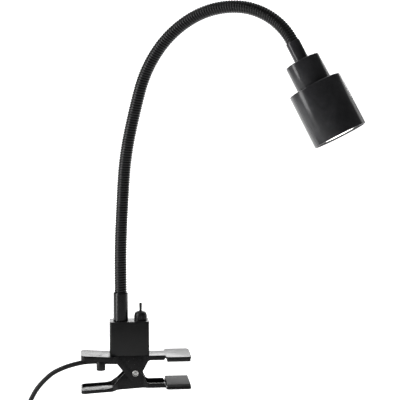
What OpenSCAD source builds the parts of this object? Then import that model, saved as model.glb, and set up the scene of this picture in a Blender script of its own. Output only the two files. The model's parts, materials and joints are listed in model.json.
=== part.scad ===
// Clip-on reading lamp: a sprung bench clamp carries a switch box, a bendable neck and a spot head.
// Millimetres, +Z up. The origin is the centre of the upper jaw pad's gripping face,
// +X points along the jaws, away from the finger levers, and -Y is the front.

/* [Clamp] */
// Distance between the two jaw pads, the thickness of the board that is gripped
jaw_gap = 23.5; // [20:0.5:25]
// Length of each jaw plate along X
jaw_length = 26; // [22:1:28]
// Width of each jaw plate
jaw_width = 42; // [36:1:44]
// Width of the neck between jaw and cheeks
neck_width = 24; // [22:1:28]
// Width of the finger levers
lever_width = 31; // [28:1:34]
// Distance from the pad centre to the end of the levers
lever_reach = 100; // [96:1:104]
// Sheet thickness of the pressed steel
sheet = 1.2; // [1:0.1:1.4]
// Thickness of a rubber jaw pad below its rim
pad_t = 2.8; // [2.4:0.1:3.2]
// Diameter of the pivot screw's head
pivot_head_d = 7.4; // [6:0.2:9]

/* [Switch box] */
// Length of the switch box along X
box_length = 40.4; // [38:0.2:41]
// Depth of the switch box along Y
box_depth = 21.5; // [21:0.5:24]
// Height of the switch box above the clamp
box_height = 35.2; // [34:0.2:40]
// Wall thickness of the switch box
box_wall = 1.8; // [1.4:0.1:2]
// Diameter of the collar round the toggle
collar_d = 13.2; // [12:0.2:13.4]
// Lean of the toggle lever to each side
toggle_lean = 11; // [8:1:12]

/* [Neck] */
// Outside diameter of the bendable neck
neck_d = 12.8; // [12:0.2:13]
// Bore of the neck for its wires
neck_bore_d = 4; // [3:0.5:4]
// Length of a whole link of the neck
link_len = 46.5; // [44:0.5:50]
// Direction of the neck's plane about its foot
neck_swing = -23; // [-40:1:0]
// Bend of each link in degrees, from the foot to the head, after the straight first one
bends = [3, 1, 8.5, 3.5, 21, 25, 30, 39, 21];

/* [Head] */
// Diameter of the upper cup
cap_d = 35; // [34:0.5:40]
// Length of the upper cup
cap_length = 26.8; // [26:0.2:30]
// Diameter of the shade
shade_d = 54; // [53:0.5:57]
// Length of the shade
shade_length = 54.6; // [54:0.2:56]
// Wall of both cups
cup_wall = 1; // [0.8:0.1:1.2]
// Diameter of the bulb's face
bulb_d = 50; // [49:0.5:50]

/* [Cord] */
// Diameter of the mains cord
cord_d = 5; // [4.6:0.2:5.2]
// Radius of the coil at the middle of its turns
coil_r = 30; // [28:1:34]

/* [Hidden] */
$fn = 64;
eps = 0.02;

// clamp
plate_z = pad_t + 2.4;
jaw_half = jaw_length / 2;
lever_rise = 1.8;
lever_root = -70.5;
pivot_x = -44.2;
pivot_z = -13;
pin_r = 2;
cheek_play = 0.3;
cheek_y = 10.3;
lower_cheek_y = cheek_y - sheet - cheek_play;
lower_z = -jaw_gap - plate_z;
lever_drop = 4.2;
lever_x = -lever_reach;
spring_wire = 1.8;
spring_r = 5.4;
spring_start = 26;
spring_sweep = 1920;
spring_step = 30;
spring_pitch = 1.9;

// switch box
box_x = -50;
box_top = plate_z + box_height;
box_screws = [[-52, -6.2], [-36.5, 6.2]];
boss_r = 3.2;
foot_x = -58.6;
foot_top = box_top + 29.6;
thread_r = 5;
wire_bore_r = 3.5;
switch_x = -38.2;
switch_half = 5.8;
bush_r = 3;
bush_top = box_top + 8.8;
ball_r = 1.8;
ball_z = box_top + 5.4;
lever_len = 13.4;

// neck
neck_r = neck_d / 2;
ball_end_r = neck_r - 0.15;
socket_r = neck_r + 0.75;
bore_r = neck_bore_d / 2;
end_bore_r = bore_r - 0.4;
spigot_r = neck_r - 0.7;
spigot_len = 8;
hinge_count = len(bends);

// head, measured along its own axis from the end of the neck
ferrule_len = 20.8;
shade_start = ferrule_len + cap_length;
head_len = shade_start + shade_length;
holder_r = 11.5;
holder_back = 33;
bulb_base = head_len - 47.7;
bulb_front = head_len - 0.6;
lens_r = 16;
lens_sunk = 0.4;
ear_r = 14.3;
contact_r = 5;

// cord
cord_r = cord_d / 2;
cord_y = 0.4;
cord_z = -2.4;
relief_x = -60;
relief_end = -76;
stem_r = 3.2;
clip_x = -79.6;
peg_y = -8.4;
peg_r = 4.6;
peg_bottom = -9.6;
floor_z = -75;
tie_t = 0.8;
bundle = 15;
coil_x = -235;
coil_y = 34;
coil_z = floor_z + tie_t + bundle / 2;
plug_x = -200;
plug_y = -48;
plug_h = 13.6;
plug_face = 35;
plug_z = floor_z + plug_h / 2;
lead_route = [
    [relief_end, cord_y, cord_z], [-86, 0.4, -2.4], [-97, 0.4, -3], [-108, 0.2, -5.2],
    [-118, 0, -8.3],
    [-128, 0, -13], [-135, 0, -18.5], [-141, 0, -24.5], [-146.5, 0, -31.5], [-151, -0.5, -39.5],
    [-155, -1, -48], [-160, -1, -56.5], [-168, -1, -64.5], [-179, -1, -70], [-191, -1, -72.2],
    [-204, -1, -72.2], [-216, -1, -72], [-226, -1, -71.7]
];
tail_route = [
    [-200.6, 42, -62], [-200, 32, -62.4], [plug_x, 22, -63.2], [plug_x, 12, -64.4],
    [plug_x, 2, -65.8], [plug_x, -8, -67], [plug_x, -18, -67.8], [plug_x, -28, plug_z],
    [plug_x, -38, plug_z]
];

// ---- outlines ----

// The arc that rounds corner b between a and c, as points.
function fillet(a, b, c, r, steps = 6) =
    let (u = (a - b) / norm(a - b), v = (c - b) / norm(c - b))
    let (half = acos(u * v) / 2, reach = r / tan(half))
    let (m = b + (u + v) / norm(u + v) * r / sin(half))
    let (p = b + u * reach - m, q = b + v * reach - m)
    let (start = atan2(p.y, p.x))
    let (sweep = (atan2(q.y, q.x) - start + 540) % 360 - 180)
    [for (k = [0:steps]) m + r * [cos(start + sweep * k / steps), sin(start + sweep * k / steps)]];

// A closed outline from [x, y, corner radius] entries; a radius of 0 keeps the corner.
function rounded(pts) =
    let (n = len(pts), flat = [for (p = pts) [p.x, p.y]])
    [for (i = [0:n - 1])
        each pts[i].z == 0
            ? [flat[i]]
            : fillet(flat[(i + n - 1) % n], flat[i], flat[(i + 1) % n], pts[i].z)];

// The same entries again on the other side of the X axis, in the order that closes the outline.
function both_sides(half) =
    concat(half, [for (i = [len(half) - 1:-1:0]) [half[i].x, -half[i].y, half[i].z]]);

// Half of a clamp plate's outline seen from above: lever, cheeks, neck and jaw, drawn in by an inset.
function clamp_half(inset, cheek) = [
    [lever_x + inset, lever_width / 2 - inset, 5 - inset],
    [lever_root + 2.5, lever_width / 2 - inset, 2],
    [lever_root + 8.5, cheek - inset, 2],
    [-36, cheek - inset, 1.5],
    [-31, neck_width / 2 - inset, 1.5],
    [-jaw_half + inset, neck_width / 2 - inset, 1],
    [-jaw_half + inset, jaw_width / 2 - inset, 3.5 - inset],
    [jaw_half - inset, jaw_width / 2 - inset, 4 - inset]
];

// Side view of the upper half, with its flanges and cheeks.
upper_side = [
    [jaw_half, plate_z, 0], [lever_root, plate_z, 0], [lever_x, plate_z + lever_rise, 0],
    [lever_x, plate_z + lever_rise - 5.3, 0], [-72, 0, 4], [-63.5, -2.5, 4], [-50.5, -19.6, 3],
    [-45.5, -22.5, 3], [-39.3, -20, 3], [-36.6, -11.9, 2], [-30.6, 0.3, 3], [-14.5, 0.3, 0],
    [-jaw_half, pad_t, 0], [jaw_half, pad_t, 0]
];

// Side view of the lower half, with its flanges and cheeks.
lower_side = [
    [jaw_half, lower_z, 0], [-31, lower_z, 0], [lever_x, lower_z - lever_drop, 0],
    [lever_x, lower_z - lever_drop + 3.8, 0], [-74, lower_z + 1, 8], [-68.5, -26.6, 3],
    [-51.8, -9.8, 3], [-44.5, -5, 4], [-38.8, -8, 3], [-37.2, -13, 2], [-32.4, -22.7, 3],
    [-30, lower_z + 4.9, 1], [-14.5, lower_z + 4.9, 0], [-jaw_half, lower_z + 2.4, 0],
    [jaw_half, lower_z + 2.4, 0]
];

// ---- helpers ----

// Extrudes a side view, drawn in X and Z, to both sides of the middle plane.
module side_slab(width) {
    rotate([90, 0, 0])
        linear_extrude(height = width, center = true)
            children();
}

module tube(r_out, r_in, h) {
    difference() {
        cylinder(r = r_out, h = h);
        translate([0, 0, -eps])
            cylinder(r = r_in, h = h + 2 * eps);
    }
}

module hex_nut(r, bore, h) {
    difference() {
        cylinder(r = r, h = h, $fn = 6);
        translate([0, 0, -eps])
            cylinder(r = bore, h = h + 2 * eps);
    }
}

// A cylinder along Y, centred on the middle plane.
module cross_pin(r, length) {
    rotate([90, 0, 0])
        cylinder(r = r, h = length, center = true);
}

function unit(v) = v / norm(v);
function heading_at(p, i) =
    unit(p[min(i + 1, len(p) - 1)] - p[max(i - 1, 0)]);

// A solid of the given radius along route points. Its rings keep one side towards ref.
module sweep_round(route, r, sides, ref) {
    n = len(route);
    rings = [for (i = [0:n - 1])
        let (t = heading_at(route, i), a = unit(ref - (ref * t) * t), b = cross(t, a))
        for (k = [0:sides - 1])
            route[i] + r * (cos(360 * k / sides) * a + sin(360 * k / sides) * b)];
    walls = [for (i = [0:n - 2], k = [0:sides - 1])
        let (j = (k + 1) % sides)
        [i * sides + k, (i + 1) * sides + k, (i + 1) * sides + j, i * sides + j]];
    caps = [[for (k = [0:sides - 1]) k], [for (k = [sides - 1:-1:0]) (n - 1) * sides + k]];
    polyhedron(points = rings, faces = concat(walls, caps));
}

// ---- clamp ----

module clamp_upper() {
    color([0.06, 0.06, 0.065])
        difference() {
            intersection() {
                side_slab(60)
                    polygon(rounded(upper_side));
                translate([0, 0, -40])
                    linear_extrude(height = 60)
                        polygon(rounded(both_sides(clamp_half(0, cheek_y))));
            }
            intersection() {
                side_slab(60)
                    polygon([
                        [40, plate_z - sheet], [lever_root, plate_z - sheet],
                        [-131, plate_z - sheet + 2 * lever_rise], [-131, -40], [40, -40]
                    ]);
                translate([0, 0, -40])
                    linear_extrude(height = 60)
                        polygon(rounded(both_sides(clamp_half(sheet, cheek_y))));
            }
            translate([pivot_x, 0, pivot_z])
                cross_pin(pin_r, 40);
            for (p = box_screws)
                translate([p.x, p.y, 0])
                    cylinder(r = 1.5, h = 10);
            translate([relief_x, cord_y, 0])
                cylinder(r = stem_r, h = 10);
            translate([clip_x, peg_y, 0])
                cylinder(r = 1.5, h = 10);
        }
}

module clamp_lower() {
    color([0.06, 0.06, 0.065])
        difference() {
            intersection() {
                side_slab(60)
                    polygon(rounded(lower_side));
                translate([0, 0, -60])
                    linear_extrude(height = 60)
                        polygon(rounded(both_sides(clamp_half(0, lower_cheek_y))));
            }
            intersection() {
                side_slab(60)
                    polygon([
                        [40, lower_z + sheet], [-31, lower_z + sheet],
                        [-169, lower_z + sheet - 2 * lever_drop], [-169, 20], [40, 20]
                    ]);
                translate([0, 0, -60])
                    linear_extrude(height = 60)
                        polygon(rounded(both_sides(clamp_half(sheet, lower_cheek_y))));
            }
            translate([pivot_x, 0, pivot_z])
                cross_pin(pin_r + 0.08, 40);
        }
}

// A rubber pad: a slab below the jaw's rim, and a core that fills the pressed jaw above it.
module jaw_pad() {
    core = 2.4 - sheet;
    in = sheet + 0.1;
    translate([0, 0, pad_t / 2])
        cube([jaw_length - 2, jaw_width - 2, pad_t], center = true);
    translate([in / 2, 0, pad_t + core / 2])
        cube([jaw_length - 3 * in, jaw_width - 4 * in, core], center = true);
}

module upper_jaw_pad() {
    color([0.11, 0.11, 0.11])
        jaw_pad();
}

module lower_jaw_pad() {
    color([0.11, 0.11, 0.11])
        translate([0, 0, -jaw_gap])
            mirror([0, 0, 1])
                jaw_pad();
}

module pivot_screw() {
    color([0.78, 0.78, 0.78])
        translate([pivot_x, 0, pivot_z]) {
            cross_pin(pin_r, 2 * cheek_y);
            translate([0, -cheek_y, 0])
                rotate([90, 0, 0]) {
                    difference() {
                        cylinder(r = pivot_head_d / 2, h = 1.8);
                        translate([0, 0, 1])
                            tube(pivot_head_d / 2 - 1, pivot_head_d / 2 - 2.2, 1);
                    }
                }
            translate([0, cheek_y + 2.6, 0])
                rotate([90, 0, 0])
                    cylinder(r = pin_r, h = 2.6 + eps);
        }
}

module pivot_nut() {
    color([0.72, 0.72, 0.72])
        translate([pivot_x, cheek_y + 2.4, pivot_z])
            rotate([90, 0, 0])
                hex_nut(3.8, pin_r, 2.4);
}

// A point on the spring's coil at an angle from the top.
function spring_point(a, y) = [pivot_x + spring_r * sin(a), y, pivot_z + spring_r * cos(a)];

// The upper arm pushes up under the lever's plate, and the lower arm pushes down on the other's.
module torsion_spring() {
    half = spring_sweep / 360 * spring_pitch / 2;
    steps = spring_sweep / spring_step;
    turns = [for (k = [0:steps])
        spring_point(spring_start + spring_step * k, half - 2 * half * k / steps)];
    upper_arm = [[-67, half, plate_z - sheet - 1.1], [-58, half, -0.6]];
    lower_arm = [[-57, -half, -23.2], [-68, -half, lower_z]];
    color([0.6, 0.6, 0.6])
        sweep_round(concat(upper_arm, turns, lower_arm), spring_wire / 2, 8, [0, 1, 0]);
}

// ---- switch box ----

module switch_housing() {
    color([0.07, 0.07, 0.07])
        difference() {
            union() {
                difference() {
                    box_shell(0, box_top);
                    box_shell(box_wall, box_top - box_wall);
                }
                for (p = box_screws)
                    translate([p.x, p.y, plate_z + sheet])
                        tube(boss_r, 1.25, 10);
            }
            translate([foot_x, 0, box_top - 5])
                cylinder(r = thread_r, h = 10);
            translate([switch_x, 0, box_top - 5])
                cylinder(r = bush_r, h = 10);
        }
}

// The box's block, drawn in from its walls by an inset.
module box_shell(inset, top) {
    size = [box_length - 2 * inset, box_depth - 2 * inset];
    r = 2 - inset / 2;
    translate([box_x, 0, plate_z])
        linear_extrude(height = top - plate_z)
            polygon(rounded([
                [-size.x / 2, -size.y / 2, r], [size.x / 2, -size.y / 2, r],
                [size.x / 2, size.y / 2, r], [-size.x / 2, size.y / 2, r]
            ]));
}

module housing_base() {
    color([0.65, 0.65, 0.65])
        difference() {
            translate([box_x - box_length / 2 + box_wall, -box_depth / 2 + box_wall, plate_z])
                cube([box_length - 2 * box_wall, box_depth - 2 * box_wall, sheet]);
            for (x = [-1, 1], y = [-1, 1])
                translate([
                    box_x + x * (box_length / 2 - box_wall),
                    y * (box_depth / 2 - box_wall),
                    plate_z - eps
                ])
                    cylinder(r = 2, h = 2);
            for (p = box_screws)
                translate([p.x, p.y, plate_z - eps])
                    cylinder(r = 1.5, h = 2);
            translate([relief_x, cord_y, plate_z - eps])
                cylinder(r = stem_r, h = 2);
        }
}

module housing_screws() {
    color([0.7, 0.7, 0.7])
        for (p = box_screws)
            translate([p.x, p.y, plate_z - sheet]) {
                translate([0, 0, -1.8])
                    cylinder(r = 2.7, h = 1.8);
                cylinder(r = 1.5, h = 2 * sheet);
                cylinder(r = 1.25, h = 2 * sheet + 8);
            }
}

module terminal_block() {
    color([0.9, 0.9, 0.88])
        translate([-47.5, -7, plate_z + sheet])
            difference() {
                cube([6.5, 14, 9]);
                for (y = [3.5, 10.5])
                    translate([-eps, y, 4])
                        rotate([0, 90, 0])
                            cylinder(r = 1.4, h = 7);
            }
}

module switch_body() {
    color([0.16, 0.16, 0.17])
        translate([switch_x, 0, 0])
            difference() {
                union() {
                    translate([-switch_half, -switch_half - 1, box_top - box_wall - 14])
                        cube([2 * switch_half, 2 * switch_half + 2, 14]);
                    translate([0, 0, box_top - box_wall - 1])
                        cylinder(r = bush_r, h = bush_top - box_top + box_wall + 1);
                }
                translate([0, 0, ball_z])
                    sphere(r = ball_r + 0.08);
                translate([0, 0, ball_z - 2.5])
                    cylinder(r = 1.2, h = 2.5);
                translate([0, 0, ball_z])
                    cylinder(r1 = 1.5, r2 = 2.4, h = bush_top - ball_z + eps);
            }
}

module switch_terminals() {
    color([0.8, 0.65, 0.3])
        for (y = [-4, 0, 4])
            translate([switch_x - 1.2, y - 0.4, box_top - box_wall - 17.5])
                cube([2.4, 0.8, 3.5]);
}

module switch_collar() {
    r = collar_d / 2;
    color([0.1, 0.1, 0.1])
        translate([switch_x, 0, box_top])
            rotate_extrude()
                polygon([
                    [bush_r, 0], [r + 0.2, 0], [r + 0.2, 0.8], [r, 0.8], [r, 5.4], [r - 0.3, 6.8],
                    [r - 1.1, 8.1], [r - 2.2, 9], [r - 3, 9.3], [bush_r, 9.3]
                ]);
}

module toggle_lever() {
    color([0.12, 0.12, 0.12])
        translate([switch_x, 0, ball_z])
            rotate([toggle_lean, 0, 0]) {
                sphere(r = ball_r);
                cylinder(r1 = 1.2, r2 = 1.5, h = lever_len - 1.5);
                translate([0, 0, lever_len - 1.5])
                    sphere(r = 1.5);
            }
}

// ---- neck ----

// Places its children in the neck's own plane, at the top of its foot.
module neck_frame() {
    translate([foot_x, 0, foot_top])
        rotate([0, 0, neck_swing])
            children();
}

// The lean from upright at hinge i, and where an arc of a length and bend ends.
function lean(i) = i == 0 ? 0 : lean(i - 1) + bends[i - 1];
function arc_end(length, bend) =
    let (r = length * 180 / PI / bend) [r * (1 - cos(bend)), r * sin(bend)];
function turned(v, a) = [v.x * cos(a) + v.y * sin(a), v.y * cos(a) - v.x * sin(a)];

// Link 0 and the last link are half as long as the others.
function length_of(i) = i == 0 || i == hinge_count ? link_len / 2 : link_len;
function hinge_at(i) =
    i == 0
        ? [0, length_of(0)]
        : hinge_at(i - 1) + turned(arc_end(length_of(i), bends[i - 1]), lean(i - 1));

module at_hinge(i) {
    neck_frame()
        translate([hinge_at(i).x, 0, hinge_at(i).y])
            rotate([0, lean(i), 0])
                children();
}

// A bored bar of a length that starts upright at the origin and bends towards +X.
module bent_bar(length, bend) {
    big = length * 180 / PI / bend;
    translate([big, 0, 0])
        rotate([90, 0, 180])
            rotate_extrude(angle = bend, $fn = 96)
                translate([big, 0])
                    difference() {
                        circle(r = neck_r);
                        circle(r = bore_r);
                    }
}

// The bored spigot that fixes an end of the neck in its ferrule.
module spigot() {
    translate([0, 0, -spigot_len])
        tube(spigot_r, end_bore_r, spigot_len + 1);
}

// Link i runs from hinge i - 1 to hinge i, with a ball end at its start and a socket at its end.
module neck_link(i) {
    color([0.09, 0.09, 0.095])
        difference() {
            union() {
                if (i == 0)
                    neck_frame() {
                        tube(neck_r, bore_r, length_of(0));
                        spigot();
                    }
                if (i > 0)
                    at_hinge(i - 1) {
                        bent_bar(length_of(i), bends[i - 1]);
                        difference() {
                            sphere(r = ball_end_r);
                            translate([0, 0, -neck_r])
                                cylinder(r = end_bore_r, h = 2 * neck_r);
                        }
                    }
                if (i == hinge_count)
                    at_hinge(i)
                        mirror([0, 0, 1])
                            spigot();
            }
            if (i < hinge_count)
                at_hinge(i)
                    sphere(r = socket_r);
        }
}

module base_ferrule() {
    color([0.08, 0.08, 0.085])
        translate([foot_x, 0, 0])
            rotate_extrude()
                polygon([
                    [wire_bore_r, box_top - 9], [thread_r, box_top - 9], [thread_r, box_top],
                    [7.7, box_top], [7.5, foot_top - 1.2], [6.9, foot_top], [spigot_r, foot_top],
                    [spigot_r, foot_top - spigot_len], [wire_bore_r, foot_top - spigot_len]
                ]);
}

module base_locknut() {
    color([0.72, 0.72, 0.72])
        translate([foot_x, 0, box_top - box_wall - 3])
            hex_nut(8, thread_r, 3);
}

// ---- head ----

// Places its children on the head's axis, at the end of the neck.
module head_frame() {
    at_hinge(hinge_count)
        children();
}

module head_ferrule() {
    color([0.08, 0.08, 0.085])
        head_frame()
            rotate_extrude()
                polygon([
                    [spigot_r, 0], [6.8, 0], [7.1, 0.8], [7.1, ferrule_len],
                    [thread_r, ferrule_len], [thread_r, ferrule_len + 8],
                    [wire_bore_r, ferrule_len + 8], [wire_bore_r, spigot_len],
                    [spigot_r, spigot_len]
                ]);
}

module head_locknut() {
    color([0.72, 0.72, 0.72])
        head_frame()
            translate([0, 0, ferrule_len + cup_wall])
                hex_nut(8, thread_r, 3);
}

// A spun cup whose closed end, with a hole in it, is at its start.
module cup(r, length, hole_r, edge = 1) {
    rotate_extrude()
        polygon(concat(
            [[hole_r, 0]],
            fillet([0, 0], [r, 0], [r, length], edge),
            [[r, length], [r - cup_wall, length], [r - cup_wall, cup_wall], [hole_r, cup_wall]]
        ));
}

module head_cap() {
    color([0.05, 0.05, 0.055])
        head_frame()
            translate([0, 0, ferrule_len])
                cup(cap_d / 2, cap_length, thread_r);
}

module shade() {
    color([0.05, 0.05, 0.055])
        head_frame()
            difference() {
                translate([0, 0, shade_start])
                    cup(shade_d / 2, shade_length, holder_r);
                for (x = [-ear_r, ear_r])
                    translate([x, 0, shade_start - 1])
                        cylinder(r = 1.25, h = 4);
            }
}

module holder_bracket() {
    color([0.68, 0.68, 0.68])
        head_frame()
            translate([0, 0, shade_start - cup_wall])
                difference() {
                    tube(cap_d / 2 - cup_wall, holder_r, cup_wall);
                    for (x = [-ear_r, ear_r])
                        translate([x, 0, -eps])
                            cylinder(r = 1.25, h = 2);
                }
}

module holder_screws() {
    color([0.7, 0.7, 0.7])
        head_frame()
            for (x = [-ear_r, ear_r])
                translate([x, 0, shade_start + cup_wall + 1.5]) {
                    translate([0, 0, -5.5])
                        cylinder(r = 1.25, h = 5.5);
                    cylinder(r = 2.3, h = 1.4);
                }
}

module lamp_holder() {
    color([0.93, 0.92, 0.88])
        head_frame()
            difference() {
                union() {
                    translate([0, 0, holder_back])
                        cylinder(r = holder_r, h = bulb_base - holder_back);
                    translate([-17, -3, shade_start + cup_wall])
                        cube([34, 6, 1.5]);
                }
                for (x = [-ear_r, ear_r])
                    translate([x, 0, shade_start])
                        cylinder(r = 1.25, h = 5);
                for (x = [-contact_r, contact_r])
                    translate([x, 0, bulb_base - 9])
                        cylinder(r = 2.8, h = 10);
            }
}

module holder_contacts() {
    color([0.8, 0.65, 0.3])
        head_frame()
            for (x = [-contact_r, contact_r])
                translate([x, 0, bulb_base - 9])
                    tube(2.8, 1.6, 1.2);
}

module bulb_body() {
    r = bulb_d / 2;
    color([0.12, 0.12, 0.12])
        head_frame()
            rotate_extrude()
                polygon([
                    [0, bulb_base], [10.8, bulb_base], [12, bulb_base + 2], [13, bulb_base + 12],
                    [r - 1.6, bulb_front - 11], [r, bulb_front - 8], [r, bulb_front],
                    [lens_r, bulb_front], [lens_r, bulb_front - 2.4], [0, bulb_front - 2.4]
                ]);
}

module bulb_lens() {
    color([1, 0.98, 0.92])
        head_frame()
            translate([0, 0, bulb_front - 2.4])
                cylinder(r = lens_r, h = 2.4 - lens_sunk);
}

module bulb_pins() {
    color([0.8, 0.8, 0.8])
        head_frame()
            for (x = [-contact_r, contact_r])
                translate([x, 0, bulb_base]) {
                    translate([0, 0, -7.4])
                        cylinder(r = 1.5, h = 7.4);
                    translate([0, 0, -7.4])
                        cylinder(r = 2.5, h = 2);
                }
}

// ---- cord ----

module cord_clip() {
    color([0.13, 0.13, 0.13])
        difference() {
            union() {
                translate([clip_x - 3, cord_y, cord_z])
                    rotate([0, 90, 0])
                        cylinder(r = cord_r + 1.3, h = 6);
                translate([clip_x - 3, peg_y - 3, 0])
                    cube([6, cord_y - peg_y + 5, 1.3]);
            }
            translate([clip_x - 4, cord_y, cord_z])
                rotate([0, 90, 0])
                    cylinder(r = cord_r, h = 8);
            translate([clip_x, peg_y, -1])
                cylinder(r = 1.5, h = 4);
        }
}

module clip_screw() {
    color([0.1, 0.1, 0.1])
        translate([clip_x, peg_y, 0]) {
            translate([0, 0, peg_bottom])
                cylinder(r = peg_r, h = -peg_bottom);
            cylinder(r = 1.5, h = plate_z + 0.5);
            translate([0, 0, 1.3])
                cylinder(r = 3, h = 3.1);
        }
}

module cord_relief() {
    color([0.1, 0.1, 0.1])
        translate([relief_x, cord_y, 0]) {
            translate([0, 0, cord_z])
                cylinder(r = stem_r, h = plate_z + sheet - cord_z);
            translate([0, 0, plate_z + sheet])
                cylinder(r = 5.5, h = 1.4);
            translate([0, 0, cord_z])
                sphere(r = stem_r + 0.2);
            translate([0, 0, cord_z])
                rotate([0, -90, 0])
                    cylinder(r1 = stem_r + 0.2, r2 = 2.9, h = relief_x - relief_end);
        }
}

module cord_lead() {
    color([0.08, 0.08, 0.08])
        sweep_round(lead_route, cord_r, 8, [0, 0, 1]);
}

// A square with rounded corners, the outer shape of a bundle of turns.
module bundle_profile(side) {
    h = side / 2;
    translate([coil_r, 0])
        polygon(rounded([[-h, -h, 3], [h, -h, 3], [h, h, 3], [-h, h, 3]]));
}

module cord_coil() {
    color([0.08, 0.08, 0.08])
        translate([coil_x, coil_y, coil_z])
            rotate_extrude()
                bundle_profile(bundle);
}

module coil_tie() {
    color([0.2, 0.2, 0.2])
        translate([coil_x, coil_y, coil_z])
            rotate([0, 0, 40])
                rotate_extrude(angle = 18)
                    difference() {
                        bundle_profile(bundle + 2 * tie_t);
                        bundle_profile(bundle);
                    }
}

module cord_tail() {
    color([0.08, 0.08, 0.08])
        sweep_round(tail_route, cord_r, 8, [0, 0, 1]);
}

// Places its children at the end of the tail, with +X pointing out of the plug's face.
module plug_frame() {
    translate([plug_x, plug_y, plug_z])
        rotate([0, 0, -90])
            children();
}

module plug_body() {
    grip = 12;
    color([0.09, 0.09, 0.09])
        plug_frame() {
            translate([-22, 0, 0])
                rotate([0, 90, 0])
                    cylinder(r1 = 3.2, r2 = 4.6, h = 22 + eps);
            translate([0, 0, -plug_h / 2])
                linear_extrude(height = plug_h)
                    polygon(rounded([
                        [0, -6, 2], [grip, -8, 6], [plug_face - 7, -12.8, 4],
                        [plug_face, -12.8, 1.5], [plug_face, 12.8, 1.5],
                        [plug_face - 7, 12.8, 4], [grip, 8, 6], [0, 6, 2]
                    ]));
        }
}

module plug_pins() {
    color([0.8, 0.8, 0.8])
        plug_frame()
            for (y = [-9.3, 9.3])
                translate([plug_face, y, 0])
                    rotate([0, 90, 0]) {
                        cylinder(r = 2, h = 17.5);
                        translate([0, 0, 17.5])
                            cylinder(r1 = 2, r2 = 1.2, h = 1.5);
                    }
}

clamp_upper();
clamp_lower();
upper_jaw_pad();
lower_jaw_pad();
pivot_screw();
pivot_nut();
torsion_spring();
switch_housing();
housing_base();
housing_screws();
terminal_block();
switch_body();
switch_terminals();
switch_collar();
toggle_lever();
base_ferrule();
base_locknut();
for (i = [0:hinge_count])
    neck_link(i);
head_ferrule();
head_locknut();
head_cap();
shade();
holder_bracket();
holder_screws();
lamp_holder();
holder_contacts();
bulb_body();
bulb_lens();
bulb_pins();
cord_clip();
clip_screw();
cord_relief();
cord_lead();
cord_coil();
coil_tie();
cord_tail();
plug_body();
plug_pins();
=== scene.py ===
"""Clip-on reading lamp.

The finished surfaces of its clamp, switch box, bendable neck, spot head and cord.
"""

import json
import math

import bpy
from mathutils import Matrix, Vector


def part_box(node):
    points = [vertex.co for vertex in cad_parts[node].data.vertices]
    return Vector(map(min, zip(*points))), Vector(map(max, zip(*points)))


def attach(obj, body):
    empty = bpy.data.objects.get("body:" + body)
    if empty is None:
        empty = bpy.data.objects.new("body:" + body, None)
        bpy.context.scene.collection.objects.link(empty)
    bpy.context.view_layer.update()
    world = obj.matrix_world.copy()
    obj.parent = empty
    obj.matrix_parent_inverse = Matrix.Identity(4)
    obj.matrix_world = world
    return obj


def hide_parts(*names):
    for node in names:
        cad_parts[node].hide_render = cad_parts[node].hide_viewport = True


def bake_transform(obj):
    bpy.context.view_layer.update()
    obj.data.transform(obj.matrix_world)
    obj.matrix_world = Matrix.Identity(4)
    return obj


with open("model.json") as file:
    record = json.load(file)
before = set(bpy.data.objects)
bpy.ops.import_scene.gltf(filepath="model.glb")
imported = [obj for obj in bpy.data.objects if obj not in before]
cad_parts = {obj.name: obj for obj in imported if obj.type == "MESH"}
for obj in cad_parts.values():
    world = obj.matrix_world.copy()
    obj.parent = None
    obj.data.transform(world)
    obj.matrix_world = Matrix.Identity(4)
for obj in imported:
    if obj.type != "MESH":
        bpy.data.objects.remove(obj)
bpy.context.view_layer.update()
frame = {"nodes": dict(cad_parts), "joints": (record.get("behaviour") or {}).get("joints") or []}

bl_info = {
    "name": "Clip-on Reading Lamp",
    "version": (1, 0, 0),
    "blender": (4, 5, 0),
    "location": "3D View > Sidebar > Reading Lamp",
    "description": "Builds a clamp lamp with a ribbed bendable neck and a stepped spot head",
    "category": "Object",
}

MM = 0.001
NODES = frame["nodes"]

# The neck's course: a straight first link of half length, then one arc for each bend in degrees.
LINK = 46.5 * MM
BENDS = (3, 1, 8.5, 3.5, 21, 25, 30, 39, 21)
SWING = math.radians(-23)

# How far the toggle leans to the front at rest.
TOGGLE_LEAN = math.radians(11)

# The cord's course in millimetres, up to the coil and from the coil to the plug.
LEAD = (
    (-76, 0.4, -2.4), (-86, 0.4, -2.4), (-97, 0.4, -3), (-108, 0.2, -5.2), (-118, 0, -8.3),
    (-128, 0, -13), (-135, 0, -18.5), (-141, 0, -24.5), (-146.5, 0, -31.5), (-151, -0.5, -39.5),
    (-155, -1, -48), (-160, -1, -56.5), (-168, -1, -64.5), (-179, -1, -70), (-191, -1, -72.2),
    (-204, -1, -72.2), (-216, -1, -72), (-226, -1, -71.7),
)
TAIL = (
    (-200, 32, -62.4), (-200, 22, -63.2), (-200, 12, -64.4), (-200, 2, -65.8), (-200, -8, -67),
    (-200, -18, -67.8), (-200, -28, -68.2), (-200, -38, -68.2),
)

# Where each turn of the coil lies in the bundle: cords outwards from its middle, and cords upwards.
COIL_SLOTS = ((1, -1), (0, -1), (-1, -1), (-1, 0), (-1, 1), (0, 1), (0, 0), (1, 0), (1, 1))
COIL_RADIUS = 30 * MM
COIL_PITCH = 0.98
COIL_STEPS = 28

# The torsion spring: its start angle and sweep in degrees, then its pitch, radius and wire in mm.
SPRING_START = 26
SPRING_SWEEP = 1920
SPRING_STEP = 15
SPRING_PITCH = 1.9
SPRING_RADIUS = 5.4
SPRING_WIRE = 1.76


# ---- modelling steps ----


def start_fresh():
    """Leaves nothing selected, in object mode."""
    if bpy.context.object and bpy.context.object.mode != "OBJECT":
        bpy.ops.object.mode_set(mode="OBJECT")
    bpy.ops.object.select_all(action="DESELECT")


def named(name):
    """Names the object that was just added, and its mesh."""
    piece = bpy.context.object
    piece.name = name
    piece.data.name = name
    return piece


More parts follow.
